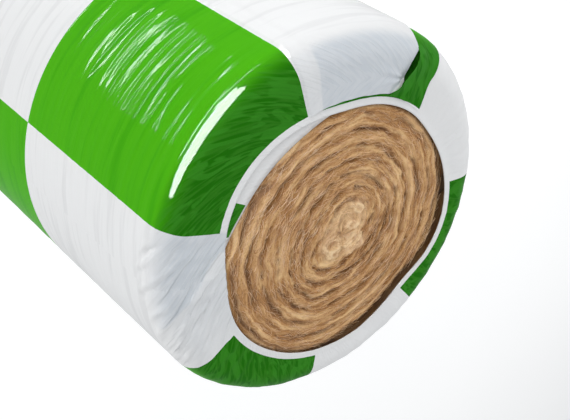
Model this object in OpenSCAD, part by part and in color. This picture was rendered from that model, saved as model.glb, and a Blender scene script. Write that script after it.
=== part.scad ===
// Roll of glass wool insulation in a printed film wrap, standing on its end.
//
// The blanket is wound into one tight roll with no core. A sleeve of film
// holds it: the film runs along the side, turns in over both rounded edges,
// and leaves a round opening on each end where the turns of the wool show.
// The outer end of the film laps over its start along the front of the roll.
//
// The roll's axis is the Z axis, and it stands on the plane Z = 0. Its front
// faces -Y. Angles run from +X towards +Y, as seen from above.

/* [Wrapped roll] */
// Diameter over the film
roll_d = 450; // [380:5:600]
// Length over the turned-in film
roll_l = 1200; // [600:10:1250]
// Radius of the rounded edge at each end
edge_r = 32; // [15:1:40]

/* [Film] */
// Thickness of the film's wall
film_t = 1; // [0.9:0.1:2]
// How far the film turns in over each end, from the side to the opening
turn_in = 69; // [66:1:110]
// How far the openings sit off the axis, to the right
opening_x = -9; // [-15:1:15]
// How far the openings sit off the axis, to the back
opening_y = 15; // [-16:1:16]
// Angle of the free edge of the outer lap
lap_edge = 226; // [200:1:260]
// Angle that the lap covers
lap_arc = 57; // [20:1:70]
// How far the lap stops short of the rounded edges, where the film thins out
lap_inset = 8; // [2:1:60]

/* [Wool] */
// Thickness of one turn of the compressed blanket
turn_t = 18; // [12:0.5:30]
// Depth of the valleys between the turns, on both ends
turn_relief = 5; // [1:0.5:8]
// Gap left between the wool and the film
fit_gap = 0.3; // [0.1:0.1:0.5]

/* [Hidden] */
$fn = 120;

opening_d = roll_d - 2 * turn_in;   // the turned-in film leaves this round opening
wool_inset = film_t + fit_gap;      // from the film's outside to the wool
wool_r = roll_d / 2 - wool_inset;
wool_end = roll_l / 2 - wool_inset; // crest of the turns, from the middle
wool_edge_r = edge_r - wool_inset;  // follows the film's rounded edge
flat_r = wool_r - wool_edge_r;      // the end is flat out to here
turns = floor(flat_r / turn_t);     // whole turns that show on the flat end
bump_steps = 6;                     // straight stretches across one turn's rounded end
cut_over = 5;                       // how far a cutting shape passes the face it cuts

// Raises a shape made about its middle, so that it stands on Z = 0.
module stand_up() {
    translate([0, 0, roll_l / 2]) children();
}

// Half of a roll's section, from the axis outwards: its end edges are true arcs.
module half_section(r, half_l, corner_r) {
    translate([0, -half_l]) square([r - corner_r, 2 * half_l]);
    translate([0, corner_r - half_l]) square([r, 2 * (half_l - corner_r)]);
    for (side = [-1, 1])
        translate([r - corner_r, side * (half_l - corner_r)]) circle(corner_r);
}

// How far the rounded end of a turn lies below its crest, at a share u of its width.
function below_crest(u) = turn_relief * pow(2 * u - 1, 4);

// The valleys between the turns on one end, as the region to cut away.
function valley_points() = concat(
    [[-cut_over, wool_end + cut_over], [-cut_over, wool_end - turn_relief]],
    [for (i = [0 : turns * bump_steps])
        [i * turn_t / bump_steps, wool_end - below_crest((i % bump_steps) / bump_steps)]],
    [[turns * turn_t, wool_end + cut_over]]
);

// The glass wool: one turned solid whose turns show as rounded rings on its ends.
module wool_roll() {
    color([0.66, 0.49, 0.32])
    stand_up()
    rotate_extrude()
    difference() {
        half_section(wool_r, wool_end, wool_edge_r);
        for (side = [0, 1])
            mirror([0, side]) polygon(valley_points());
    }
}

// The film's wall: a closed skin round the whole roll, before its openings.
module film_skin() {
    rotate_extrude()
    difference() {
        half_section(roll_d / 2, roll_l / 2, edge_r);
        half_section(roll_d / 2 - film_t, roll_l / 2 - film_t, edge_r - film_t);
    }
}

// The outer lap: a second layer on the straight part of the side, rooted in the wall.
module film_lap() {
    lap_l = roll_l - 2 * (edge_r + lap_inset);
    rotate([0, 0, lap_edge])
    rotate_extrude(angle = lap_arc)
    translate([roll_d / 2 - film_t / 2, -lap_l / 2])
        square([1.5 * film_t, lap_l]);
}

// The printed film sleeve with its lap and the opening at each end.
module film_wrap() {
    color([0.93, 0.94, 0.94])
    stand_up()
    difference() {
        union() {
            film_skin();
            film_lap();
        }
        for (side = [-1, 1])
            translate([opening_x, opening_y, side * roll_l / 2])
                cylinder(d = opening_d, h = 2 * edge_r, center = true);
    }
}

wool_roll();
film_wrap();
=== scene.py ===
# %% [markdown]
# # A roll of glass wool in a printed film wrap
# The roll stands on its end, with its axis along Z. A frame made elsewhere holds its true size: one
# solid for the wool and one for the film. This script keeps that size and gives both their real look.

# %% Load the frame
import math
import bmesh
import bpy
import numpy as np
from mathutils import Matrix, Vector, noise


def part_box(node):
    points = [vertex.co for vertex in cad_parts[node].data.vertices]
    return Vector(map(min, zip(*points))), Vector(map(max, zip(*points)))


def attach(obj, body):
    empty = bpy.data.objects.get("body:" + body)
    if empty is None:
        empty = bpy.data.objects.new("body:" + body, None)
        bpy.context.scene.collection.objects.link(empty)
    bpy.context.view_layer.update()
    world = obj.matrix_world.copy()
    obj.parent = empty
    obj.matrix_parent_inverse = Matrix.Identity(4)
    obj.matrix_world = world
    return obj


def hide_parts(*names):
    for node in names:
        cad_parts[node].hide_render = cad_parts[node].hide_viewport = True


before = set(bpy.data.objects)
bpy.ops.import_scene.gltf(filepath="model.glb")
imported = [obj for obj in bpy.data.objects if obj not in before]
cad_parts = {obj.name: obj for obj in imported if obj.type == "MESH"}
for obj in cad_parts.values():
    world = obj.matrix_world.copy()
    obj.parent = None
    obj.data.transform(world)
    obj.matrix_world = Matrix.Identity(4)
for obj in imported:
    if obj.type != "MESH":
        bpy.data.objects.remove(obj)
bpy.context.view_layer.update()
roll_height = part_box("film_wrap")[1][2]
roll_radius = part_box("film_wrap")[1][0]
print("roll height", round(roll_height, 3), "radius", round(roll_radius, 3))

# %% [markdown]
# ## The camera
# The roll is seen as if it lay on its side, so the camera is turned with it: the top of the picture
# is towards the roll's front, -Y. A camera's own axes are its right, its up and the way back from
# its target, and a matrix made of those three is plainer than three angles when it is tilted so.

# %% Camera
view_back = Vector((0.504, -0.5548, 0.662)).normalized()
picture_top = Vector((0, -1, 0))
view_target = Vector((0, 0.0282, roll_height - 0.0871))
view_distance = 1.395
lens_length = 75.8


def aim_camera():
    camera = bpy.data.objects.new("camera", bpy.data.cameras.new("camera"))
    bpy.context.collection.objects.link(camera)
    right = picture_top.cross(view_back).normalized()
    up = view_back.cross(right)
    turn = Matrix((right, up, view_back)).transposed().to_4x4()
    camera.matrix_world = Matrix.Translation(view_target + view_back * view_distance) @ turn
    camera.data.lens = lens_length
    bpy.context.scene.camera = camera
    print("camera", round(view_distance, 3), "m from its target, lens", lens_length, "mm")


aim_camera()

# %% [markdown]
# ## Helpers for node trees
# Every material and every Geometry Nodes tree below is built from nodes. A few short helpers keep
# that readable: they add a node with its settings and inputs, do a step of arithmetic on numbers or
# places, read noise at a place, and mix two colours.

# %% Node helpers
def fill_inputs(tree, node, inputs):
    """Links a node's inputs to other nodes, or sets them to plain values."""
    for key, value in inputs.items():
        if isinstance(value, bpy.types.NodeSocket):
            tree.links.new(value, node.inputs[key])
        else:
            node.inputs[key].default_value = value


def add_node(tree, kind, inputs=None, **settings):
    node = tree.nodes.new(kind)
    for name, value in settings.items():
        setattr(node, name, value)
    fill_inputs(tree, node, inputs or {})
    return node


def calc(tree, operation, *values):
    inputs = dict(enumerate(values))
    return add_node(tree, "ShaderNodeMath", inputs, operation=operation).outputs[0]


def times(tree, value, *factors):
    for factor in factors:
        value = calc(tree, "MULTIPLY", value, factor)
    return value


def vector_calc(tree, operation, *values):
    """Arithmetic on places. A length, distance or dot product comes back as a number."""
    node = add_node(tree, "ShaderNodeVectorMath", dict(enumerate(values)), operation=operation)
    return node.outputs["Value" if operation in ("LENGTH", "DISTANCE", "DOT_PRODUCT") else "Vector"]


def axes_of(tree, place):
    return add_node(tree, "ShaderNodeSeparateXYZ", {0: place}).outputs


def join_axes(tree, x=0.0, y=0.0, z=0.0):
    return add_node(tree, "ShaderNodeCombineXYZ", {0: x, 1: y, 2: z}).outputs[0]


def smooth_step(tree, value, start, end, low=0.0, high=1.0):
    inputs = {"Value": value, "From Min": start, "From Max": end, "To Min": low, "To Max": high}
    return add_node(tree, "ShaderNodeMapRange", inputs, interpolation_type="SMOOTHSTEP").outputs[0]


def noise_at(tree, place, scale=1.0, detail=2.0, roughness=0.5, distortion=0.0):
    inputs = {"Vector": place, "Scale": scale, "Detail": detail, "Roughness": roughness,
              "Distortion": distortion}
    return add_node(tree, "ShaderNodeTexNoise", inputs).outputs[0]


def centred(tree, value):
    """Noise lies round one half. This brings it round zero."""
    return calc(tree, "SUBTRACT", value, 0.5)


def blend_colour(tree, share, first, second):
    return add_node(tree, "ShaderNodeMix", {0: share, 6: first, 7: second}, data_type="RGBA").outputs[2]


def new_material(name):
    material = bpy.data.materials.new(name)
    material.use_nodes = True
    print("material", name)
    return material, material.node_tree, material.node_tree.nodes["Principled BSDF"]


# %% [markdown]
# ## How the film lies
# The film follows one path over the roll: in from the opening's rim over the flat end, round the
# shoulder, down the side, and round the far shoulder to the other rim. A point on it needs only an
# angle and a distance along that path, counted from where the shoulder starts, plus a lift off the
# surface. Writing this rule once lets every layer of film use it.

# %% Path of the film
shoulder = 0.032
shoulder_arc = shoulder * math.pi / 2
side_length = roll_height - 2 * shoulder
flat_radius = roll_radius - shoulder
path_to_far_flat = 2 * shoulder_arc + side_length
opening_middle = (-0.009, 0.015)
usual_rim = 0.155


def film_points(angle, path, lift):
    far = path - shoulder_arc - side_length
    lean = np.clip(path / shoulder, 0, math.pi / 2) + np.clip(far / shoulder, 0, math.pi / 2)
    inwards = np.minimum(path, 0) - np.maximum(far - shoulder_arc, 0)
    radius = flat_radius + inwards + (shoulder + lift) * np.sin(lean)
    middle = roll_height - shoulder - np.clip(path - shoulder_arc, 0, side_length)
    height = middle + (shoulder + lift) * np.cos(lean)
    return np.stack([radius * np.cos(angle), radius * np.sin(angle), height], axis=-1)


# %% [markdown]
# ## The rim of the opening
# The film is drawn in round the wool by its own stretch, so the opening isn't a true circle. A few
# radii round its middle, joined by a smooth closed curve, give that shape. The second
# list is for the inner layer, whose edge shows inside the outer one on one side.

# %% Rim outlines
outer_rim = ((0, 153), (25, 155), (55, 155), (80, 157), (103, 157), (120, 152), (133, 151), (147, 161),
             (162, 165), (178, 161), (195, 156), (213, 152), (232, 154), (250, 154), (268, 153),
             (280, 157), (292, 163), (306, 168), (320, 168.5), (333, 165), (345, 159))
inner_rim = ((0, 166), (60, 166), (120, 166), (180, 174), (240, 166), (262, 160), (274, 153), (288, 147.5),
             (303, 146), (316, 146.5), (330, 148.5), (341, 154), (350, 160.5))


def closed_curve(points, angle):
    """Catmull-Rom curve through (degrees, millimetres), in metres at each angle in radians."""
    knots = np.radians([p[0] for p in points])
    values = np.array([p[1] for p in points]) / 1000
    count = len(points)
    turn = np.mod(angle, 2 * math.pi)
    left = np.searchsorted(knots, turn, side="right") - 1
    gap = np.diff(np.append(knots, knots[0] + 2 * math.pi))
    t = (turn - knots[left]) / gap[left]
    a, b, c, d = (values[(left + shift) % count] for shift in (-1, 0, 1, 2))
    return 0.5 * (2 * b + (c - a) * t + (2 * a - 5 * b + 4 * c - d) * t**2 + (3 * b - a - 3 * c + d) * t**3)


def rim_path(points, angle):
    """Where the rim crosses the film's path, for an opening that sits off the axis."""
    reach = np.full_like(angle, usual_rim)
    for _ in range(8):
        x = reach * np.cos(angle) - opening_middle[0]
        y = reach * np.sin(angle) - opening_middle[1]
        reach = reach + closed_curve(points, np.arctan2(y, x)) - np.hypot(x, y)
    return reach - flat_radius


# %% [markdown]
# ## Meshes from a grid
# Each layer of film and the wool's blank are grids of points. Faces join each point to its
# neighbours, and a grid can close on itself either way. The film's own coordinates go into a UV map,
# so the print keeps sharp edges however coarse the mesh is. Named fields on the points carry what
# else a material needs: where the film hangs slack or folds shut, and where the wool falls away.

# %% Grid mesh helper
def grid_object(name, points, close_across=False, close_along=False, film_map=None, fields=None):
    across, along = points.shape[:2]
    index = np.arange(across * along).reshape(across, along)
    first = index if close_across else index[:-1]
    second = np.roll(index, -1, axis=0) if close_across else index[1:]
    if close_along:
        corners = (first, np.roll(first, -1, axis=1), np.roll(second, -1, axis=1), second)
    else:
        corners = (first[:, :-1], first[:, 1:], second[:, 1:], second[:, :-1])
    faces = np.stack([c.ravel() for c in corners], axis=1)
    mesh = bpy.data.meshes.new(name)
    mesh.from_pydata(points.reshape(-1, 3).tolist(), [], faces.tolist())
    if film_map is not None:
        loops = film_map.reshape(-1, 2)[faces.ravel()].reshape(-1, 4, 2).copy()
        wraps = loops[:, :, 0].max(axis=1) - loops[:, :, 0].min(axis=1) > 0.5
        loops[wraps, :, 0] += (loops[wraps, :, 0] < 0.5)
        layer = mesh.uv_layers.new(name="film")
        layer.data.foreach_set("uv", loops.ravel())
    for field, values in (fields or {}).items():
        layer = mesh.attributes.new(field, "FLOAT", "POINT")
        layer.data.foreach_set("value", values.ravel())
    mesh.polygons.foreach_set("use_smooth", np.ones(len(faces), dtype=bool))
    mesh.validate()
    piece = bpy.data.objects.new(name, mesh)
    bpy.context.collection.objects.link(piece)
    print(name, len(mesh.vertices), "points,", 2 * len(faces), "triangles")
    return piece


def round_angles(columns):
    """Angles of a grid's columns, evenly round the roll."""
    return (np.arange(columns) * 2 * math.pi / columns)[:, None]


seed_step = 17.3


def sample_noise(points, scale, seed):
    """Smooth noise at each point, stretched by a scale for each axis. A seed moves it elsewhere."""
    places = points.reshape(-1, 3) * np.array(scale) + seed * seed_step
    return np.array([noise.noise(p) for p in places]).reshape(points.shape[:-1])


def bell(value, middle, width):
    return np.exp(-((value - middle) / width) ** 2)


def fade(value, start, end):
    t = np.clip((value - start) / (end - start), 0, 1)
    return t * t * (3 - 2 * t)


def degrees_from(angle, middle):
    """Signed distance in degrees from a middle angle, the short way round."""
    return np.mod(np.degrees(angle) - middle + 180, 360) - 180


def near_angle(angle, middle, width):
    """1 at the middle angle, and less on both sides of it."""
    return bell(degrees_from(angle, middle), 0, width)


# %% [markdown]
# ## Wrinkles in the film
# Thin film that is pulled round a roll wrinkles along the pull: long fine ridges run round the side,
# and where the film turns in over the end it has length to spare, so it gathers in folds that point
# at the opening. Noise that is stretched one way and folded at zero makes such ridges.

# %% Wrinkle rules
def ridges(points, scale, seed, sharpness):
    return (1 - np.abs(sample_noise(points, scale, seed))) ** sharpness


def wrinkle_lift(angle, path):
    """How far the film's wrinkles stand off the surface, in metres."""
    points = film_points(angle, path, 0)
    side = fade(path, 0.016, 0.050)
    end = 1 - fade(path, 0.0, 0.04)
    patches = 0.45 + 0.55 * fade(sample_noise(points, (5, 5, 6), 1), -0.20, 0.30)
    lift = side * patches * (0.0006 * ridges(points, (3.6, 3.6, 72), 2, 9) - 0.0002)
    lift += side * 0.0002 * sample_noise(points, (9, 9, 150), 3)
    lift += 0.0016 * sample_noise(points, (4, 4, 3), 4)
    # Over the end: long folds, most where the film hangs slack.
    round_the_end = np.stack([7 * np.cos(angle), 7 * np.sin(angle), 9 * path], axis=-1)
    slack = 0.40 - 0.30 * near_angle(angle, 308, 24) + 0.35 * near_angle(angle, 5, 30)
    folds = ridges(round_the_end, (1, 1, 1), 5, 3) - 0.45
    fine_folds = sample_noise(round_the_end, (3.2, 3.2, 2.0), 6)
    lift += (1 - fade(path, 0.02, 0.055)) * slack * (0.0026 * folds + 0.0012 * fine_folds)
    # Beside the slack film: sharp creases that slant over the shoulder.
    round_metres = np.radians(degrees_from(angle, 0)) * 0.2
    creased = np.stack([42 * (round_metres - 1.15 * path), 6 * (round_metres + path), 0 * path], axis=-1)
    creases = ridges(creased, (1, 1, 1), 8, 6) - 0.30
    lift += (1 - fade(path, 0.035, 0.06)) * 0.0040 * creases * near_angle(angle, 9, 21)
    # Past the long fold the film steps up a little.
    past_fold = degrees_from(angle, 0) - (fold_line(path) - 360)
    lift += (1 - fade(path, 0.0, 0.03)) * 0.0018 * fade(past_fold, -1.5, 1.5) * bell(past_fold, 0, 14)
    lift += end * 0.0004 * sample_noise(points, (60, 60, 60), 7)
    return lift


def fold_line(path):
    """Degrees at which a fold crosses the slack film, from the rim out to the shoulder."""
    return np.interp(path, (-0.040, -0.017, 0.015, 0.032), (349.8, 361.2, 369.8, 374.0))


def knock(angle, path, at_degrees, at_path, wide_degrees, wide_path, depth):
    """A broad shallow hollow."""
    return -depth * near_angle(angle, at_degrees, wide_degrees) * bell(path, at_path, wide_path)


dent_width = 0.0034


def dent(angle, path, at_degrees, at_path, length, depth):
    """A short crease that leans half over: a hollow with a low ridge beside it."""
    round_metres = np.radians(degrees_from(angle, at_degrees)) * roll_radius
    along = (round_metres + path - at_path) * math.sqrt(0.5)
    across = (round_metres - path + at_path) * math.sqrt(0.5)
    shape = bell(across, 0, dent_width) - 0.8 * bell(across, -1.6 * dent_width, dent_width)
    return -depth * bell(along, 0, length) * shape


# %% [markdown]
# ## The film sleeve
# The sleeve is one closed skin: its outer face runs the whole path, and its inner face comes back
# under it, so it has a real thickness at both rims. The rows lie close together near the top, where
# the wrinkles show most, and further apart below. Two fields on it carry painted shade: bluish where
# the film hangs slack beside the lap, and near black in the fold beside the pleat.

# %% Sleeve
film_thickness = 0.0012
sleeve_columns = 380
fine_rows_reach = 0.3
sleeve_dents = ((349, 0.043, 0.013, 0.0044), (356, 0.052, 0.010, 0.0026), (3, 0.049, 0.012, 0.0022))
sleeve_knocks = ((346, 0.020, 2.2, 0.018, 0.0020), (239.5, -0.001, 3.6, 0.017, 0.0028))
# The inner face can do with these few of the outer face's rows, counted back from the far rim.
inner_rows = (0, 8, 17, 50, 90, 130, 160, 190, 205, 212, 220, -12, -1)
inner_depth = 0.0018
slack_start = 341.5
fold_shade_middle = 239.5


def ink_slant(angle, path):
    """Degrees by which the ink's edge beside the pleat leans over on the flat end."""
    return -4.3 * near_angle(angle, 224, 8) * (1 - fade(path, -0.042, -0.002))


def side_rows(counts, far_reach):
    """Path distances from one shoulder to the other: the first shoulder, near, far, and the last."""
    return np.concatenate([
        np.linspace(0, shoulder_arc, counts[0], endpoint=False),
        shoulder_arc + np.linspace(0, fine_rows_reach, counts[1], endpoint=False),
        shoulder_arc + np.linspace(fine_rows_reach, side_length, counts[2], endpoint=False),
        shoulder_arc + side_length + np.linspace(0, far_reach, counts[3])])


def sleeve_lift(angle, path, from_rim):
    """Wrinkles, dents and knocks, calmed near the rims, and the rims' own soft bead."""
    lift = wrinkle_lift(angle, path)
    for place_and_size in sleeve_dents:
        lift += dent(angle, path, *place_and_size)
    for place_and_size in sleeve_knocks:
        lift += knock(angle, path, *place_and_size)
    lift *= 0.35 + 0.65 * fade(from_rim, 0.002, 0.022)
    return lift + 0.0012 * bell(from_rim, 0, 0.006)


def slack_shade_share(angle, path):
    """Share of painted shade: 1 where the film hangs slack, from the ink's last edge to the long fold, less
    beyond.
    """
    past_edge = degrees_from(angle, slack_start)
    before_fold = fold_line(path) - slack_start - past_edge
    slack = fade(past_edge, -1.0, 0.5) * fade(before_fold, -0.6, 0.6) * (1 - fade(path, 0.012, 0.05))
    return np.maximum(slack, 0.42 * bell(past_edge, 30, 24) * (1 - fade(path, 0.0, 0.04)))


def build_sleeve():
    angles = round_angles(sleeve_columns)
    rows = side_rows((24, 110, 60, 10), shoulder_arc)
    rim = rim_path(outer_rim, angles)
    top = rim * np.linspace(1, 0, 26, endpoint=False)[None, :]
    body = np.broadcast_to(rows[None, :], (sleeve_columns, len(rows)))
    far = path_to_far_flat - rim * np.linspace(0.15, 1, 8)[None, :]
    path = np.concatenate([top, body, far], axis=1)
    angle = np.broadcast_to(angles, path.shape)
    from_rim = np.minimum(path - rim, path_to_far_flat - rim - path)
    outer = film_points(angle, path, sleeve_lift(angle, path, from_rim))
    outer[..., 2] = np.maximum(outer[..., 2], 0)
    back_path = path[:, ::-1][:, inner_rows]
    back_angle = np.broadcast_to(angles, back_path.shape)
    sunk = film_thickness + inner_depth * fade(back_path - rim, 0, 0.03)
    inner = film_points(back_angle, back_path, -sunk)
    inner[:, -1] = outer[:, 0] - (0, 0, film_thickness)
    inner[:, 0] = outer[:, -1] + (0, 0, film_thickness)
    inner[..., 2] = np.maximum(inner[..., 2], film_thickness / 2)
    inside = np.zeros(back_path.shape)
    slant = np.concatenate([ink_slant(angle, path), inside], axis=1)
    turn = angles / (2 * math.pi) - slant / 360
    film_map = np.stack([turn, np.concatenate([from_rim, inside], axis=1)], axis=-1)
    # Painted shade: this field paints the film near black in the fold beside the pleat.
    fold_shade = near_angle(angle, fold_shade_middle, 5) * bell(path, -0.005, 0.024)
    fields = {"slack": slack_shade_share(angle, path), "fold_shade": fold_shade}
    fields = {name: np.concatenate([values, inside], axis=1) for name, values in fields.items()}
    points = np.concatenate([outer, inner], axis=1)
    return grid_object("film_sleeve", points, True, True, film_map, fields)


sleeve = build_sleeve()

# %% [markdown]
# ## A strip of film over the sleeve
# The lap, the pleat and the inner layer are open sheets. Each gets its thickness by laying a second
# grid under the first and closing it all round, which is what Solidify does, but here the edges stay
# exactly where the outline puts them.

# %% Film sheet helper
sheet_thickness = 0.0008


def there_and_back(values, back=None):
    """Lays a sheet's lower face after its upper one, in the opposite order."""
    return np.concatenate([values, (values if back is None else back)[:, ::-1]], axis=1)


def film_sheet(name, angle, path, lift, slack):
    """A closed sheet from grids of angle, path, lift and slack."""
    upper = film_points(angle, path, lift)
    points = there_and_back(upper, film_points(angle, path, lift - sheet_thickness))
    turn = np.mod(there_and_back(angle) / (2 * math.pi), 1)
    from_rim = there_and_back(path - rim_path(outer_rim, angle))
    film_map = np.stack([turn, from_rim], axis=-1)
    piece = grid_object(name, points, False, True, film_map, {"slack": there_and_back(slack)})
    close_ends(piece.data, points.shape)
    return piece


sharp_edge = math.radians(50)


def close_ends(mesh, shape):
    """Caps the two open ends of a flattened tube with strips of quads."""
    across, along = shape[:2]
    half = along // 2
    work = bmesh.new()
    work.from_mesh(mesh)
    work.verts.ensure_lookup_table()
    film = work.loops.layers.uv["film"]
    for column in (0, across - 1):
        ring = [work.verts[column * along + row] for row in range(along)]
        places = [vert.link_loops[0][film].uv.copy() for vert in ring]
        for row in range(half - 1):
            order = [row, row + 1, along - 2 - row, along - 1 - row]
            cap = work.faces.new([ring[i] for i in order])
            cap.smooth = True
            for loop, i in zip(cap.loops, order):
                loop[film].uv = places[i]
    bmesh.ops.recalc_face_normals(work, faces=work.faces)
    for edge in work.edges:
        edge.smooth = edge.calc_face_angle() < sharp_edge
    work.to_mesh(mesh)
    work.free()


# %% [markdown]
# ## The lap
# The film's outer end laps over its start along the front. Its free edge runs up the side and over
# the shoulder, then leans in to a pinched corner, from which fine creases fan out. Its lower edge
# stops short of the rim, so a thin line of the printed layer beneath shows between them. Below, it
# goes on round the far shoulder, so that the roll stands on it as on the rest of the film.

# %% Lap
lap_start, lap_end = 284.2, 236.0
lap_lean = ((-40, 0), (-28, 0.4), (-20, 1.7), (-15, 2.4), (-8, 2.8), (2, 3.2), (10, 2.4), (17.5, 0.9),
            (25, 2.0), (31, 2.7), (36, 3.0), (60, 3.0), (120, 1.5))
lap_foot = ((236, -19), (238.5, -27), (243, -36), (253, -39.5), (263, -41.5), (276, -41), (286, -43))
pinch_degrees, pinch_path = 238, -0.016


def outline_at(outline, place):
    """Reads an outline of (place, value) pairs, with straight lines between them."""
    places, values = zip(*outline)
    return np.interp(place, places, values)


def pinch_lift(angle, path):
    """The pinched corner, and the creases that fan out from it."""
    from_pinch = np.arctan2((path - pinch_path) * 300, np.degrees(angle) - 237)
    fan = np.sin(11 * from_pinch + 1.5 * np.sin(5 * from_pinch))
    fan_reach = fade(degrees_from(angle, pinch_degrees), 0.5, 4) * near_angle(angle, pinch_degrees, 13)
    fanned = 0.0012 * fan * fan_reach * bell(path, pinch_path, 0.024)
    return fanned + knock(angle, path, pinch_degrees + 0.5, pinch_path, 2.5, 0.010, 0.003)


def build_lap():
    across, flat_rows = 90, 24
    share = np.linspace(0, 1, across)[:, None]
    foot = outline_at(lap_foot, lap_start + (lap_end - lap_start) * share) / 1000
    top = foot * np.linspace(1, 0, flat_rows, endpoint=False)[None, :]
    rows = side_rows((22, 90, 50, 8), 0.7 * shoulder_arc)
    body = np.broadcast_to(rows[None, :], (across, len(rows)))
    path = np.concatenate([top, body], axis=1)
    edge = lap_end + outline_at(lap_lean, path * 1000)
    angle = np.radians(lap_start + (edge - lap_start) * share)
    lift = wrinkle_lift(angle, path)
    lift = lift - 0.0004 + 0.0022 * fade(share, 0, 0.03) + 0.0010 * fade(share, 0.1, 0.16)
    lift += 0.0028 * fade(share, 0.86, 1.0) * bell(path, -0.038, 0.010)
    lift += pinch_lift(angle, path)
    corner_line = pinch_degrees + 0.4 + 4.6 * np.clip((pinch_path - path) / 0.021, 0, 1)
    past_corner = fade(np.degrees(angle) - corner_line, -0.3, 0.6)
    lift += 0.0013 * (1 - past_corner) * bell(path, -0.026, 0.010)
    # The slack field paints bluish shade on the lap below the shoulder's crest, weaker on the strip by the
    # lap's start.
    crest = 1 - fade(path, 0.020, 0.034)
    flap = 1 - 0.7 * fade(np.degrees(angle), 277.0, 277.8)
    slack = crest * np.where(path < -0.014, past_corner, 1.0) * flap
    return film_sheet("film_lap", angle, path, lift, slack)


lap = build_lap()

# %% [markdown]
# ## The pleat
# Beside the lap the printed layer is pushed up into a small pleat. Its free edge stands off the end,
# so one looks into the dark fold under it. The sheet is flat where it joins the sleeve and rises
# towards that edge, most of all on the flat end. Past the shoulder it lies down again under the lap.

# %% Pleat
pleat_edge = ((-38, 243.4), (-26, 240.4), (-15, 238.6), (-6, 238.2), (6, 237.6), (14, 237.1), (17.5, 237.1),
              (22, 238.2), (27, 239.6), (36, 240.5), (50, 240.8))
pleat_root = 224.5


def build_pleat():
    across, along = 26, 70
    path = np.linspace(-0.038, 0.050, along)[None, :] + np.zeros((across, 1))
    share = np.linspace(0, 1, across)[:, None]
    edge = outline_at(pleat_edge, path * 1000)
    root = pleat_root + ink_slant(np.radians(pleat_root), path) + 1.0
    angle = np.radians(root + (edge - root) * share)
    rise = 0.0018 + 0.0057 * bell(path, 0.0, 0.017) + 0.0036 * bell(path, -0.026, 0.010)
    rise *= 1 - fade(path, 0.012, 0.027)
    lift = wrinkle_lift(angle, path) + 0.0010 + share**1.6 * rise
    return film_sheet("film_pleat", angle, path, lift, np.zeros(path.shape))


pleat = build_pleat()

# %% [markdown]
# ## The inner layer
# The wrap is two layers thick at the ends. The inner one's edge reaches further in on one side of
# the opening. It is a flat ring just under the sleeve, wide enough that its outer edge stays hidden.

# %% Inner layer
inner_thickness = 0.0006


def build_inner_layer():
    columns, rows = 200, 9
    angle = np.broadcast_to(round_angles(columns), (columns, rows))
    rim = rim_path(inner_rim, angle)
    path = rim * np.linspace(1, 0.1, rows)[None, :]
    lift = -0.0036 + 0.0012 * bell(path - rim, 0, 0.01)
    upper = film_points(angle, path, lift)
    points = there_and_back(upper, film_points(angle, path, lift - inner_thickness))
    film_map = np.stack([there_and_back(angle) / (2 * math.pi), there_and_back(path - rim)], axis=-1)
    return grid_object("inner_layer", points, True, True, film_map)


inner_layer = build_inner_layer()

# %% [markdown]
# ## The wool's blank
# Glass wool is wound from a long blanket, so its end is a spiral of turns. A lathe-turned blank
# gives the bulk: crowned where it swells out through the opening and plain below. A Geometry Nodes
# tree then winds the turns into it, because a spiral is a rule and not a shape to draw. At the back
# of the opening the wool falls away under the film, and a field on it holds painted shade there.

# %% Wool blank
wool_radius = roll_radius - 0.006
wool_columns = 420
wool_edge = 0.02
crown_height = 0.0035
falls_away_at = math.radians(140)


def wool_rim(angle):
    """Where the wool leaves the opening: the inner of the two layers' edges."""
    return np.minimum(closed_curve(outer_rim, angle), closed_curve(inner_rim, angle))


def crown_rows(angle):
    """Radius from the opening's middle, height and shade of the rows that show."""
    share = np.concatenate([[0.0], np.linspace(0.008, 1.05, 116)])[None, :]
    away = fade(np.cos(angle - falls_away_at), 0.25, 0.95)
    drop = 0.0090 * np.clip((share - 0.92) / 0.09, 0, 1) ** 2 + 0.0060 * away * fade(share, 0.66, 1.0)
    height = roll_height + crown_height - 0.001 * share**2 - drop + 0 * angle
    # The shade field is painted shade: strong where the wool falls away under the film at the back, faint
    # round the rest of the rim.
    shade = 0.85 * away * fade(share, 0.89, 1.0) + 0.25 * fade(share, 0.95, 1.0) * (1 - away)
    return wool_rim(angle) * share, height, shade


def hidden_rows():
    """Radius and height of the rows under the film: the edge, the side and the bottom."""
    bend = np.linspace(0, math.pi / 2, 7)
    side = np.linspace(roll_height - 0.045, 0.03, 8)
    bottom = np.linspace(wool_radius - 0.004, 0, 40)
    edge_radius = wool_radius - wool_edge + wool_edge * np.sin(bend)
    edge_height = roll_height - 0.014 - wool_edge * (1 - np.cos(bend))
    bottom_height = np.interp(bottom, [0, 0.19, wool_radius], [0.0025, 0.0035, 0.02])
    radius = np.concatenate([edge_radius, np.full(len(side), wool_radius), bottom])
    return radius, np.concatenate([edge_height, side, bottom_height])


def build_wool_blank():
    angle = round_angles(wool_columns)
    crown_radius, crown_top, shade = crown_rows(angle)
    hidden_radius, hidden_height = hidden_rows()
    hidden_shape = (wool_columns, len(hidden_radius))
    radius = np.concatenate([crown_radius, np.broadcast_to(hidden_radius, hidden_shape)], axis=1)
    height = np.concatenate([crown_top, np.broadcast_to(hidden_height, hidden_shape)], axis=1)
    shade = np.concatenate([shade, np.zeros(hidden_shape)], axis=1)
    # The crown lies round the opening's middle, and the rest round the roll's axis.
    follow = np.arange(radius.shape[1]) < crown_radius.shape[1]
    x = radius * np.cos(angle) + opening_middle[0] * follow
    y = radius * np.sin(angle) + opening_middle[1] * follow
    points = np.stack([x, y, height], axis=-1)
    return grid_object("wool_blank", points, True, False, fields={"shade": shade})


wool_blank = build_wool_blank()
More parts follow.
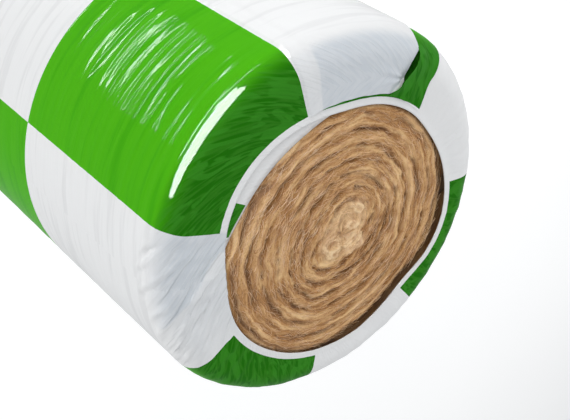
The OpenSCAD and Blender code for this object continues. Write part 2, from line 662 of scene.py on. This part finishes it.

# %% [markdown]
# ## Winding the turns
# The tree measures each point's distance and angle from the middle. Distance divided by the
# thickness of a turn, less the share of a full circle, gives a number that goes up by one from turn
# to turn: a spiral. Its fraction is 0 and 1 in the valleys between the turns. Noise bends the
# spiral, and more noise, stretched round the roll, raises the streaks that loose fibres make. The
# results are also stored on the points, so the material can paint shade into the valleys.

# %% Tree helpers
def field_tree(name, sizes):
    tree = bpy.data.node_groups.new(name, "GeometryNodeTree")
    tree.interface.new_socket("Geometry", in_out="INPUT", socket_type="NodeSocketGeometry")
    for size_name in sizes:
        tree.interface.new_socket(size_name, in_out="INPUT", socket_type="NodeSocketFloat")
    tree.interface.new_socket("Material", in_out="INPUT", socket_type="NodeSocketMaterial")
    tree.interface.new_socket("Geometry", in_out="OUTPUT", socket_type="NodeSocketGeometry")
    return tree, tree.nodes.new("NodeGroupInput").outputs, tree.nodes.new("NodeGroupOutput").inputs


def store(tree, geometry, name, value):
    inputs = {"Geometry": geometry, "Name": name, "Value": value}
    node = add_node(tree, "GeometryNodeStoreNamedAttribute", inputs, data_type="FLOAT", domain="POINT")
    return node.outputs["Geometry"]


def finish_tree(tree, geometry, material, result):
    """Makes the geometry real, paints it and hands it to the tree's output."""
    real = add_node(tree, "GeometryNodeRealizeInstances", {0: geometry}).outputs[0]
    painted = add_node(tree, "GeometryNodeSetMaterial", {"Geometry": real, "Material": material})
    tree.links.new(painted.outputs[0], result[0])


def from_opening(tree, place):
    """A place's offset from the opening's middle, round which the turns are wound."""
    return vector_calc(tree, "SUBTRACT", place, (*opening_middle, 0))


def round_axes(tree, offset):
    """The axes of an offset's direction, which change only as one goes round the roll."""
    flat = vector_calc(tree, "MULTIPLY", offset, (1, 1, 0))
    return axes_of(tree, vector_calc(tree, "NORMALIZE", flat))


def polar_place(tree, around, round_scale, distance, across_scale):
    """A place for noise that runs in long streaks round the roll."""
    return join_axes(tree, times(tree, around[0], round_scale),
                     times(tree, around[1], round_scale),
                     times(tree, distance, across_scale))


# %% [markdown]
# ## The heart of the roll
# The blanket's start is folded flat and pressed, so the middle shows no round turns but a few curled
# lobes on a pale oval bed. Each lobe is a soft disc round its own place, with a hollow in some. The
# first turns round them are longer one way than the other, and one long gap stays open beside them.

# %% Heart and first turns
# Each lobe: where it lies in X and Y, its radius, and the radius of its hollow.
heart_lobes = ((-0.021, -0.024, 0.014, 0.0), (-0.013, -0.007, 0.013, 0.0), (-0.0165, 0.016, 0.020, 0.006),
               (0.014, 0.013, 0.019, 0.0055))
heart_bed = (-0.004, -0.003)
bed_axes = (((0.707, 0.707, 0), 0.043), ((-0.707, 0.707, 0), 0.027))
heart_height = 0.0035
curl_spacing = 0.0062
gap_width = 0.0024
folded_towards = math.radians(235)
fold_stretch = 0.012
bend_stretch = 0.022


def heart_field(tree, flat, shifted):
    """1 inside the lobes of the folded start of the blanket, with soft uneven edges."""
    wobble = times(tree, centred(tree, noise_at(tree, shifted, 75, 3)), 0.026)
    heart = 0.0
    for x, y, size, hole in heart_lobes:
        reach = calc(tree, "ADD", vector_calc(tree, "DISTANCE", flat, (x, y, 0)), wobble)
        curl = calc(tree, "COSINE", times(tree, reach, 2 * math.pi / curl_spacing))
        lobe = smooth_step(tree, reach, size * 0.45, size, 1.0, 0.0)
        hollow = smooth_step(tree, reach, hole * 0.4, hole + 0.001, 0.15, 1.0)
        curled = times(tree, lobe, calc(tree, "MULTIPLY_ADD", curl, 0.16, 0.84), hollow)
        heart = calc(tree, "MAXIMUM", heart, curled)
    off_bed = vector_calc(tree, "SUBTRACT", flat, (*heart_bed, 0))
    squares = []
    for axis, half_length in bed_axes:
        share = calc(tree, "DIVIDE", vector_calc(tree, "DOT_PRODUCT", off_bed, axis), half_length)
        squares.append(calc(tree, "POWER", calc(tree, "ABSOLUTE", share), 2.0))
    bed = calc(tree, "ADD", calc(tree, "ADD", *squares), times(tree, wobble, 22.0))
    return calc(tree, "MAXIMUM", heart, smooth_step(tree, bed, 0.7, 1.15, 0.36, 0.0))


def wound_distance(tree, distance, angle, bend):
    """Distance from the middle, counted in the blanket's own bent and folded layers."""
    fold_turn = times(tree, calc(tree, "SUBTRACT", angle, folded_towards), 2)
    fold = times(tree, calc(tree, "COSINE", fold_turn), fold_stretch)
    fold_fade = smooth_step(tree, distance, 0.0, 0.12, 1.0, 0.25)
    drawn = calc(tree, "SUBTRACT", distance, times(tree, fold, fold_fade))
    return calc(tree, "ADD", drawn, times(tree, bend, bend_stretch))


def heart_gap(tree, axes, distance, bend):
    """The long gap on the back right, where the next turn stands off the heart: sunk, with painted shade.
    """
    from_back = calc(tree, "ARCTAN2", times(tree, axes[0], -1.0), axes[1])
    gap_reach = calc(tree, "MULTIPLY_ADD", from_back, 0.0085, 0.0559)
    uneven_reach = calc(tree, "MULTIPLY_ADD", bend, 0.006, distance)
    off_gap = calc(tree, "DIVIDE", calc(tree, "SUBTRACT", uneven_reach, gap_reach), gap_width)
    gap = calc(tree, "EXPONENT", times(tree, off_gap, off_gap, -1.0))
    return times(tree, gap, smooth_step(tree, from_back, -0.35, 0.35),
                 smooth_step(tree, from_back, 1.4, 1.9, 1.15, 0.0))


# %% Winding tree
def winding_tree():
    sizes = ("Turn thickness", "Valley depth", "Streak height", "Lump height", "Seed")
    tree, size, result = field_tree("winding", sizes)
    from_middle = from_opening(tree, add_node(tree, "GeometryNodeInputPosition").outputs[0])
    axes = axes_of(tree, from_middle)
    around = round_axes(tree, from_middle)
    flat = vector_calc(tree, "MULTIPLY", from_middle, (1, 1, 0))
    distance = vector_calc(tree, "LENGTH", flat)
    angle = calc(tree, "ARCTAN2", axes[1], axes[0])
    shifted = vector_calc(tree, "ADD", from_middle, join_axes(tree, z=size["Seed"]))
    bend = centred(tree, noise_at(tree, shifted, 22, 2))
    wound = wound_distance(tree, distance, angle, bend)
    turns = calc(tree, "SUBTRACT", calc(tree, "DIVIDE", wound, size["Turn thickness"]),
                 calc(tree, "DIVIDE", angle, 2 * math.pi))
    phase = calc(tree, "FRACT", turns)
    off_crest = calc(tree, "ABSOLUTE", calc(tree, "MULTIPLY_ADD", phase, 2.0, -1.0))
    # Three noises, all slow round the roll and quick across it.
    streak = noise_at(tree, polar_place(tree, around, 1.5, wound, 140.0), 1.0, 4, 0.55, 0.4)
    broken = noise_at(tree, polar_place(tree, around, 3.0, wound, 55.0), 1.0, 2, 0.5, 0.4)
    banded = noise_at(tree, polar_place(tree, around, 1.6, wound, 38.0), 1.0, 1, 0.5)
    lump = noise_at(tree, shifted, 60, 3, 0.6)
    heart = heart_field(tree, flat, shifted)
    uneven = smooth_step(tree, broken, 0.40, 0.58, 0.10, 1.0)
    valley = times(tree, calc(tree, "POWER", off_crest, 3.0), uneven, calc(tree, "SUBTRACT", 1.0, heart))
    valley = calc(tree, "MAXIMUM", valley, heart_gap(tree, axes, distance, bend))
    crest = times(tree, smooth_step(tree, off_crest, 0.0, 0.4, 1.0, 0.0),
                 smooth_step(tree, banded, 0.48, 0.62))
    raised = times(tree, centred(tree, streak), size["Streak height"])
    lumped = times(tree, centred(tree, lump), size["Lump height"])
    sunk = times(tree, valley, size["Valley depth"])
    relief = calc(tree, "SUBTRACT", calc(tree, "ADD", raised, lumped), sunk)
    relief = calc(tree, "ADD", relief, times(tree, heart, heart_height))
    facing = axes_of(tree, add_node(tree, "GeometryNodeInputNormal").outputs[0])[2]
    depth = times(tree, relief, smooth_step(tree, facing, 0.3, 0.7))
    stored = size["Geometry"]
    fields = {"valley": valley, "streak": streak, "heart": heart, "wound": wound, "crest": crest}
    for name, value in fields.items():
        stored = store(tree, stored, name, value)
    offset = {"Geometry": stored, "Offset": join_axes(tree, z=depth)}
    moved = add_node(tree, "GeometryNodeSetPosition", offset).outputs[0]
    finish_tree(tree, moved, size["Material"], result)
    return tree


def apply_tree(source, tree, values, name):
    """Runs a tree on an object and keeps the result as a plain mesh."""
    modifier = source.modifiers.new("tree", "NODES")
    modifier.node_group = tree
    for item in tree.interface.items_tree:
        if item.in_out == "INPUT" and item.name in values:
            modifier[item.identifier] = values[item.name]
    source.update_tag()
    graph = bpy.context.evaluated_depsgraph_get()
    mesh = bpy.data.meshes.new_from_object(source.evaluated_get(graph))
    source.modifiers.remove(modifier)
    mesh.name = name
    piece = bpy.data.objects.new(name, mesh)
    bpy.context.collection.objects.link(piece)
    print(name, len(mesh.vertices), "points,", sum(len(p.vertices) - 2 for p in mesh.polygons), "triangles")
    return piece


# %% [markdown]
# ## Wool material
# Glass wool is matt and made of fibres, so it has sheen at grazing angles and no gloss. Its colour
# follows the stored fields: painted shade in the valleys, in the gap beside the heart and where the
# wool falls away under the film, lighter on the raised streaks and palest in the folded heart. Fine
# noise, stretched round the roll like the fibres, breaks all of it up.

# %% Wool material
wool_dark = (0.160, 0.066, 0.020, 1)
wool_brown = (0.455, 0.220, 0.068, 1)
wool_light = (0.850, 0.570, 0.280, 1)
# Painted shade in the valleys between the turns and in the gap beside the heart.
valley_shade_brown = (0.105, 0.042, 0.013, 1)
heart_cream = (0.960, 0.730, 0.460, 1)
# Painted shade where the wool falls away under the film.
shade_brown = (0.060, 0.022, 0.007, 1)


def stored_field(tree, name):
    return add_node(tree, "ShaderNodeAttribute", attribute_name=name).outputs["Fac"]


def weighted_sum(tree, *parts):
    """Adds up values, each given with its weight."""
    total = 0.0
    for value, weight in parts:
        total = calc(tree, "ADD", total, times(tree, value, weight))
    return total


def wool_colour(tree, tone, darkest, middle, lightest):
    ramp = add_node(tree, "ShaderNodeValToRGB", {0: tone})
    stops = ramp.color_ramp.elements
    stops[0].color = darkest
    stops[1].color = lightest
    stops.new(0.45).color = middle
    return ramp.outputs[0]


def wool_material():
    material, tree, surface = new_material("glass_wool")
    fields = ("valley", "streak", "heart", "wound", "crest", "shade")
    valley, streak, heart, wound, crest, shade = (stored_field(tree, name) for name in fields)
    place = add_node(tree, "ShaderNodeTexCoord").outputs["Object"]
    around = round_axes(tree, from_opening(tree, place))
    fibre = noise_at(tree, polar_place(tree, around, 3.3, wound, 360.0), 1.0, 4, 0.62, 0.6)
    fluff = noise_at(tree, place, 240, 3, 0.6, 0.8)
    cloud = noise_at(tree, place, 16, 3, 0.55)
    curls = noise_at(tree, place, 150, 3, 0.6, 2.2)
    hair = calc(tree, "SUBTRACT", 1.0, calc(tree, "ABSOLUTE", calc(tree, "MULTIPLY_ADD", curls, 2.0, -1.0)))
    tone = weighted_sum(tree, (streak, 0.72), (fibre, 0.58), (cloud, 0.30), (fluff, 0.12), (hair, 0.35),
                        (crest, 0.24), (heart, 0.22))
    colour = wool_colour(tree, smooth_step(tree, tone, 0.83, 1.49), wool_dark, wool_brown, wool_light)
    # Painted shade: dark brown in the valleys and the gap beside the heart, and darker still where the wool
    # falls away under the film. The cream of the heart is the wool's own tone.
    for field, strength, tint in ((valley, 0.85, valley_shade_brown), (heart, 0.70, heart_cream),
                                  (shade, 0.80, shade_brown)):
        colour = blend_colour(tree, times(tree, field, strength), colour, tint)
    height = weighted_sum(tree, (fibre, 0.9), (fluff, 0.25))
    bump = add_node(tree, "ShaderNodeBump", {"Strength": 0.6, "Distance": 0.0014, "Height": height})
    fill_inputs(tree, surface, {
        "Base Color": colour, "Roughness": 0.95, "Specular IOR Level": 0.12, "Sheen Weight": 0.08,
        "Sheen Roughness": 0.6, "Normal": bump.outputs[0]})
    return material


winding_values = {"Turn thickness": 0.018, "Valley depth": 0.0050, "Streak height": 0.0040,
                  "Lump height": 0.0020, "Seed": 3.0, "Material": wool_material()}
wool_body = apply_tree(wool_blank, winding_tree(), winding_values, "wool_body")

# %% [markdown]
# ## Loose fibres
# The cut end of the wool is hairy. Short curved strands are scattered over it, each lying roughly
# round the roll with some strays. One strand has few faces, as thousands of them are made.

# %% Fibre tree
def random_between(tree, low, high, seed=0):
    node = add_node(tree, "FunctionNodeRandomValue", {2: low, 3: high, "Seed": seed}, data_type="FLOAT")
    return node.outputs[1]


def one_strand(tree, thickness, length):
    """A strand one unit long. Its section is as thin as it has to be before the strand is scaled."""
    arc = add_node(tree, "GeometryNodeCurveQuadraticBezier", {
        "Resolution": 5, "Start": (-0.5, 0.0, 0.0), "Middle": (0.0, 0.14, 0.12), "End": (0.5, -0.05, 0.02)})
    section = add_node(tree, "GeometryNodeCurvePrimitiveCircle", {
        "Resolution": 3, "Radius": calc(tree, "DIVIDE", thickness, length)})
    return add_node(tree, "GeometryNodeCurveToMesh", {
        "Curve": arc.outputs[0], "Profile Curve": section.outputs[0], "Fill Caps": True}).outputs[0]


def fibre_tree():
    tree, size, result = field_tree("fibres", ("Density", "Length", "Thickness", "Seed"))
    place = add_node(tree, "GeometryNodeInputPosition").outputs[0]
    up = axes_of(tree, add_node(tree, "GeometryNodeInputNormal").outputs[0])[2]
    high = axes_of(tree, place)[2]
    on_top = times(tree, calc(tree, "GREATER_THAN", up, 0.3),
                  calc(tree, "GREATER_THAN", high, roll_height - 0.010))
    density = times(tree, on_top, size["Density"])
    scatter = add_node(tree, "GeometryNodeDistributePointsOnFaces", {
        "Mesh": size["Geometry"], "Density": density, "Seed": size["Seed"]}, distribute_method="RANDOM")
    axes = axes_of(tree, from_opening(tree, place))
    heading = calc(tree, "ADD", calc(tree, "ARCTAN2", axes[1], axes[0]), math.pi / 2)
    heading = calc(tree, "ADD", heading, random_between(tree, -0.4, 0.4))
    pitch = random_between(tree, -0.9, 0.9, 5)
    grow = times(tree, random_between(tree, 0.4, 1.3, 9), size["Length"])
    strand = one_strand(tree, size["Thickness"], size["Length"])
    placed = add_node(tree, "GeometryNodeInstanceOnPoints", {
        "Points": scatter.outputs["Points"], "Instance": strand, "Scale": grow,
        "Rotation": join_axes(tree, pitch, 0.0, heading)})
    finish_tree(tree, placed.outputs[0], size["Material"], result)
    return tree


fibre_brown = (0.58, 0.32, 0.14, 1)
fibre_cream = (0.88, 0.64, 0.42, 1)


def fibre_material():
    material, tree, surface = new_material("loose_fibre")
    place = add_node(tree, "ShaderNodeTexCoord").outputs["Object"]
    tone = smooth_step(tree, noise_at(tree, place, 90, 2), 0.3, 0.7)
    colour = blend_colour(tree, tone, fibre_brown, fibre_cream)
    fill_inputs(tree, surface, {"Base Color": colour, "Roughness": 0.7, "Specular IOR Level": 0.2})
    return material


fibre_values = {"Density": 44000.0, "Length": 0.017, "Thickness": 0.00018, "Seed": 4,
                "Material": fibre_material()}
fibres = apply_tree(wool_body, fibre_tree(), fibre_values, "wool_fibres")
bpy.data.objects.remove(wool_blank)

# %% [markdown]
# ## Where the ink lies
# The print is plain blocks in columns round the roll, and the columns swap colour from row to row.
# A ramp that jumps from 0 to 1 and back at each column's edge gives them, and each row's height
# turns them round. A narrow band along the rim stays bare.

# %% Print
print_rows = (0.910, 0.600, 0.290)
rim_band = 0.0084


def ink_columns(tree, turn, edges):
    """1 where a column is inked. Edges are the degrees where the colour changes, from bare."""
    ramp = add_node(tree, "ShaderNodeValToRGB", {0: turn})
    ramp.color_ramp.interpolation = "CONSTANT"
    stops = ramp.color_ramp.elements
    stops[0].color = (0, 0, 0, 1)
    stops[1].position = edges[0] / 360
    stops[1].color = (1, 1, 1, 1)
    for number, edge in enumerate(edges[1:], 1):
        level = 1 - number % 2
        stops.new(edge / 360).color = (level, level, level, 1)
    return ramp.outputs[0]


def inked_share(tree, turn, from_rim, height, edges, rows, band):
    inked = ink_columns(tree, turn, edges)
    for row in rows:
        below = calc(tree, "LESS_THAN", height, row)
        inked = calc(tree, "ABSOLUTE", calc(tree, "SUBTRACT", inked, below))
    return times(tree, inked, calc(tree, "GREATER_THAN", from_rim, band))


# %% [markdown]
# ## Creases too fine for the mesh
# Film shows many creases finer than the mesh, so the material has them. Where stretched noise
# crosses its middle value it leaves thin lines, which run round the side and out over the end. On
# the lap they meet in a row of Vs, as on a feather. Coarser noise with a sharp edge gives patches
# of painted light, as on flat crumpled facets, over the end, and soft noise gives broad bands of
# painted sheen and painted shade on the side.

# %% Creases and bands
def end_share(tree, height):
    """1 over either flat end and 0 on the side."""
    from_middle = calc(tree, "ABSOLUTE", calc(tree, "SUBTRACT", height, roll_height / 2))
    return smooth_step(tree, from_middle, roll_height / 2 - 0.030, roll_height / 2 - 0.004)


def film_place(tree, round_roll, round_scale, from_rim, rim_scale, layer=0.0):
    """A place for noise on the film. Another layer of the noise gives another pattern."""
    return join_axes(tree, times(tree, round_roll, round_scale),
                     times(tree, from_rim, rim_scale), layer)


def thin_lines(tree, place, half_width, bend=0.3):
    """Sharp ridge lines where stretched noise crosses its middle value."""
    off = calc(tree, "ABSOLUTE", centred(tree, noise_at(tree, place, 1.0, 1, 0.5, bend)))
    return smooth_step(tree, off, 0.0, half_width, 1.0, 0.0)


def side_relief(tree, place, round_roll, from_rim):
    """Height in millimetres of the long thin wrinkles that run round the side."""
    patches = smooth_step(tree, noise_at(tree, place, 6, 2), 0.36, 0.58, 0.15, 1.0)
    tilted = calc(tree, "MULTIPLY_ADD", round_roll, 0.10, from_rim)
    long_lines = thin_lines(tree, film_place(tree, round_roll, 6.5, tilted, 130.0), 0.13, 0.1)
    fine_lines = thin_lines(tree, film_place(tree, round_roll, 9.0, from_rim, 240.0, 4.0), 0.14, 0.1)
    return times(tree, weighted_sum(tree, (long_lines, 0.12), (fine_lines, 0.06)), patches)


def sheen_and_shade_bands(tree, round_roll, from_rim):
    """Broad soft bands round the side for painted sheen and painted shade, from 0 to 1."""
    band_place = film_place(tree, round_roll, 4.0, from_rim, 62.0, 2.0)
    return smooth_step(tree, noise_at(tree, band_place, 1.0, 3, 0.6), 0.30, 0.70)


def leaning(tree, turn, from_rim):
    """Metres that a crease line shifts round the roll on its way out: most on one side."""
    most = calc(tree, "COSINE", calc(tree, "MULTIPLY_ADD", turn, 2 * math.pi, math.radians(20)))
    return times(tree, from_rim, calc(tree, "MULTIPLY_ADD", most, -0.77, -0.82))


def feathering(tree, turn, from_rim):
    """The same shift on the lap, where the lines meet at a spine."""
    from_spine = calc(tree, "ABSOLUTE", calc(tree, "SUBTRACT", from_rim, 0.033))
    return times(tree, from_spine, -1.55)


def spoke_lines(tree, shifted_round, from_rim, per_metre, half_width):
    """Crease lines over the end."""
    spoke_place = film_place(tree, shifted_round, per_metre, from_rim, per_metre * 0.29, 9.0)
    return thin_lines(tree, spoke_place, half_width)


def facet_light_patches(tree, shifted_round, from_rim):
    """Patches of painted light, as on flat crumpled facets over the end, with sharp edges, from 0 to 1."""
    patch_place = film_place(tree, shifted_round, 34.0, from_rim, 24.0, 5.0)
    return smooth_step(tree, noise_at(tree, patch_place, 1.0, 2, 0.55, 1.6), 0.50, 0.56)


# %% [markdown]
# ## Film material
# Polyethylene film is white or printed right through its own gloss, so one shader does for every
# layer: the colour says where ink lies, and a thin clear coat and fine ridges give the shine. The
# colour also holds painted shade: bluish grey where the film lies slack and off the wool over the
# ends, deeper green over the flat ends and near black in the fold beside the pleat. Creases and
# facets over the end get painted light, and soft bands on the side are painted lighter and darker,
# as painted sheen and painted shade.

# %% Film material
white_film = (0.798, 0.799, 0.800, 1)
# Painted shade on film that hangs slack over the ends.
slack_shade_white = (0.600, 0.636, 0.676, 1)
# Painted grey shade in bands on the white side.
band_shade_grey = (0.560, 0.560, 0.565, 1)
green_ink = (0.062, 0.400, 0.004, 1)
# Painted sheen and painted shade in bands on the green side.
band_sheen_green = (0.100, 0.480, 0.008, 1)
band_shade_green = (0.022, 0.270, 0.001, 1)
# Painted shade over the flat ends.
end_shade_green = (0.012, 0.150, 0.001, 1)
# Painted light on creases and on flat facets over the end.
crease_light_green = (0.085, 0.340, 0.035, 1)
facet_light_green = (0.036, 0.235, 0.014, 1)
# Painted shade in the fold beside the pleat.
fold_shade_green = (0.001, 0.030, 0.001, 1)


def bare_colour(tree, spokes, bands, on_side, pale_lines):
    """White film: painted bluish shade where it hangs slack, crossed by paler crease lines, and painted
    grey shade in bands on the side.
    """
    # The crease lines lift the painted shade off the slack film, as painted light.
    unlined = calc(tree, "MULTIPLY_ADD", spokes, -pale_lines, 1.0)
    slack_shade_amount = times(tree, stored_field(tree, "slack"), unlined)
    bare = blend_colour(tree, slack_shade_amount, white_film, slack_shade_white)
    # Painted grey shade in bands on the side.
    grey_band_share = times(tree, smooth_step(tree, bands, 0.50, 0.05, 0.0, 0.24), on_side)
    return blend_colour(tree, grey_band_share, bare, band_shade_grey)


def ink_colour(tree, end, spokes, bands, on_side, facets):
    """Green ink with painted shade over the end and in the fold, painted sheen and shade in bands on the
    side, and painted light on creases and facets.
    """
    # Painted sheen and painted shade in bands on the side.
    sheen_band_share = times(tree, bands, 0.28, on_side)
    shade_band_share = times(tree, smooth_step(tree, bands, 0.45, 0.0, 0.0, 0.28), on_side)
    # Painted light on crease lines and on facets.
    creased = times(tree, spokes, 0.22)
    crumpled = times(tree, facets, 0.75)
    # Painted shade in the fold beside the pleat.
    fold_shade_share = times(tree, stored_field(tree, "fold_shade"), 0.97)
    # Painted shade over the flat ends.
    ink = blend_colour(tree, end, green_ink, end_shade_green)
    for share, tint in ((sheen_band_share, band_sheen_green), (shade_band_share, band_shade_green), (creased, crease_light_green),
                        (crumpled, facet_light_green), (fold_shade_share, fold_shade_green)):
        ink = blend_colour(tree, share, ink, tint)
    return ink


def shoulder_creases(tree, turn, height, shifted_round, from_rim):
    """Height of the strong creases over the top shoulder, beside the slack film."""
    from_slack = calc(tree, "COSINE", calc(tree, "MULTIPLY_ADD", turn, 2 * math.pi, math.radians(-8)))
    over_shoulder = smooth_step(tree, height, roll_height - 0.045, roll_height - 0.012)
    over_shoulder = times(tree, over_shoulder, smooth_step(tree, from_slack, 0.82, 0.97))
    return times(tree, spoke_lines(tree, shifted_round, from_rim, 46.0, 0.17), over_shoulder)


def film_material(name, edges, rows=print_rows, band=rim_band, lean_rule=leaning, pale_lines=0.28):
    material, tree, surface = new_material(name)
    film_map = axes_of(tree, add_node(tree, "ShaderNodeUVMap", uv_map="film").outputs[0])
    place = add_node(tree, "ShaderNodeTexCoord").outputs["Object"]
    height = axes_of(tree, place)[2]
    turn = calc(tree, "FRACT", film_map[0])
    from_rim = film_map[1]
    round_roll = times(tree, turn, 2 * math.pi * roll_radius)
    shifted_round = calc(tree, "ADD", round_roll, lean_rule(tree, turn, from_rim))
    end = end_share(tree, height)
    on_side = calc(tree, "SUBTRACT", 1.0, end)
    spokes = times(tree, spoke_lines(tree, shifted_round, from_rim, 110.0, 0.14), end)
    facets = times(tree, facet_light_patches(tree, shifted_round, from_rim), end)
    bands = sheen_and_shade_bands(tree, round_roll, from_rim)
    inked = inked_share(tree, turn, from_rim, height, edges, rows, band)
    bare = bare_colour(tree, spokes, bands, on_side, pale_lines)
    colour = blend_colour(tree, inked, bare, ink_colour(tree, end, spokes, bands, on_side, facets))
    crinkle = noise_at(tree, place, 75, 4, 0.6, 1.5)
    end_lines = calc(tree, "MULTIPLY_ADD", crinkle, 0.35, times(tree, spokes, 0.24))
    lines = {0: end, 2: side_relief(tree, place, round_roll, from_rim), 3: end_lines}
    relief = add_node(tree, "ShaderNodeMix", lines, data_type="FLOAT").outputs[0]
    relief = calc(tree, "ADD", relief, shoulder_creases(tree, turn, height, shifted_round, from_rim))
    bump = add_node(tree, "ShaderNodeBump", {"Strength": 1.0, "Distance": 0.001, "Height": relief})
    fill_inputs(tree, surface, {
        "Base Color": colour, "Roughness": smooth_step(tree, crinkle, 0.3, 0.7, 0.22, 0.34), "IOR": 1.5,
        "Specular IOR Level": 0.0, "Coat Weight": 0.32, "Coat IOR": 1.3, "Coat Roughness": 0.06,
        "Normal": bump.outputs[0]})
    return material


sleeve_edges = (33, 82.5, 127, 175.5, 225.5, 276, 283.6, 340.7)
sleeve.data.materials.append(film_material("printed_film", sleeve_edges))
lap.data.materials.append(film_material("lap_film", (300, 301), lean_rule=feathering, pale_lines=0.20))
pleat.data.materials.append(film_material("pleat_film", (200, 300)))
inner_layer.data.materials.append(film_material("inner_film", (328, 344), rows=(), band=0.0022))

# %% [markdown]
# ## Riding on the frame
# Every piece rides on the frame's one body, and the frame's two plain solids, which the wool and
# the film replace, are hidden.

# %% Riding and replacing
for piece in (sleeve, lap, pleat, inner_layer):
    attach(piece, "root")
for piece in (wool_body, fibres):
    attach(piece, "root")
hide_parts("film_wrap")
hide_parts("wool_roll")

# %% [markdown]
# ## Floor and light
# A plain pale floor and large soft lamps, as in a studio. The plain lamps light the roll from four
# sides and leave no highlight. The highlights come from three shine lamps, which give nothing else,
# so the light on the film and its gloss can be set apart from each other.

# %% Floor
floor_reach = 9


def build_floor():
    corners = [[[x, y, 0] for x in (-floor_reach, floor_reach)] for y in (-floor_reach, floor_reach)]
    floor = grid_object("floor", np.array(corners, dtype=float))
    material, tree, surface = new_material("pale_floor")
    place = add_node(tree, "ShaderNodeTexCoord").outputs["Object"]
    colour = blend_colour(tree, noise_at(tree, place, 2, 2), (0.86, 0.86, 0.86, 1), (0.90, 0.90, 0.90, 1))
    fill_inputs(tree, surface, {
        "Base Color": colour, "Roughness": 0.9, "Emission Color": (1, 1, 1, 1), "Emission Strength": 0.22})
    floor.data.materials.append(material)
    floor.visible_glossy = False


def build_world():
    world = bpy.data.worlds.new("studio")
    world.use_nodes = True
    sky = world.node_tree.nodes["Background"]
    fill_inputs(world.node_tree, sky, {"Color": (0.96, 0.98, 1.0, 1), "Strength": 0.53})
    bpy.context.scene.world = world


build_floor()
build_world()

# %% Lamps
def soft_light(name, place, target, width, height, power, shine=False):
    """A shine lamp is oval and gives only highlights. A plain one gives none."""
    lamp = bpy.data.lights.new(name, "AREA")
    lamp.shape = "ELLIPSE" if shine else "RECTANGLE"
    lamp.size = width
    lamp.size_y = height
    lamp.energy = power
    light = bpy.data.objects.new(name, lamp)
    bpy.context.collection.objects.link(light)
    light.location = place
    light.rotation_euler = (Vector(target) - Vector(place)).to_track_quat("-Z", "Y").to_euler()
    light.visible_camera = False
    light.visible_diffuse = not shine
    light.visible_glossy = shine
    print("lamp", name, power, "W")


soft_light("key", (1.71, -1.88, 2.59), (0, 0, 1.0), 1.6, 1.6, 30)
soft_light("front", (-1.40, -2.20, 1.5), (0, 0, 1.0), 1.8, 1.8, 22.5)
soft_light("right_fill", (1.8, 1.8, 1.1), (0, 0, 0.9), 1.6, 1.6, 10)
soft_light("back_fill", (-2.2, 1.4, 2.4), (0, 0, 0.9), 1.6, 1.6, 26)
soft_light("shoulder_shine", (1.2, -1.15, 1.38), (0.10, -0.15, 1.17), 2.0, 1.0, 690, shine=True)
soft_light("side_shine", (0.72, -1.15, 0.60), (0.13, -0.17, 0.98), 1.5, 0.15, 50, shine=True)
soft_light("low_shine", (0.42, -0.70, 0.25), (0.13, -0.18, 0.86), 0.90, 0.032, 4.0, shine=True)
bpy.context.scene.view_settings.view_transform = "Standard"
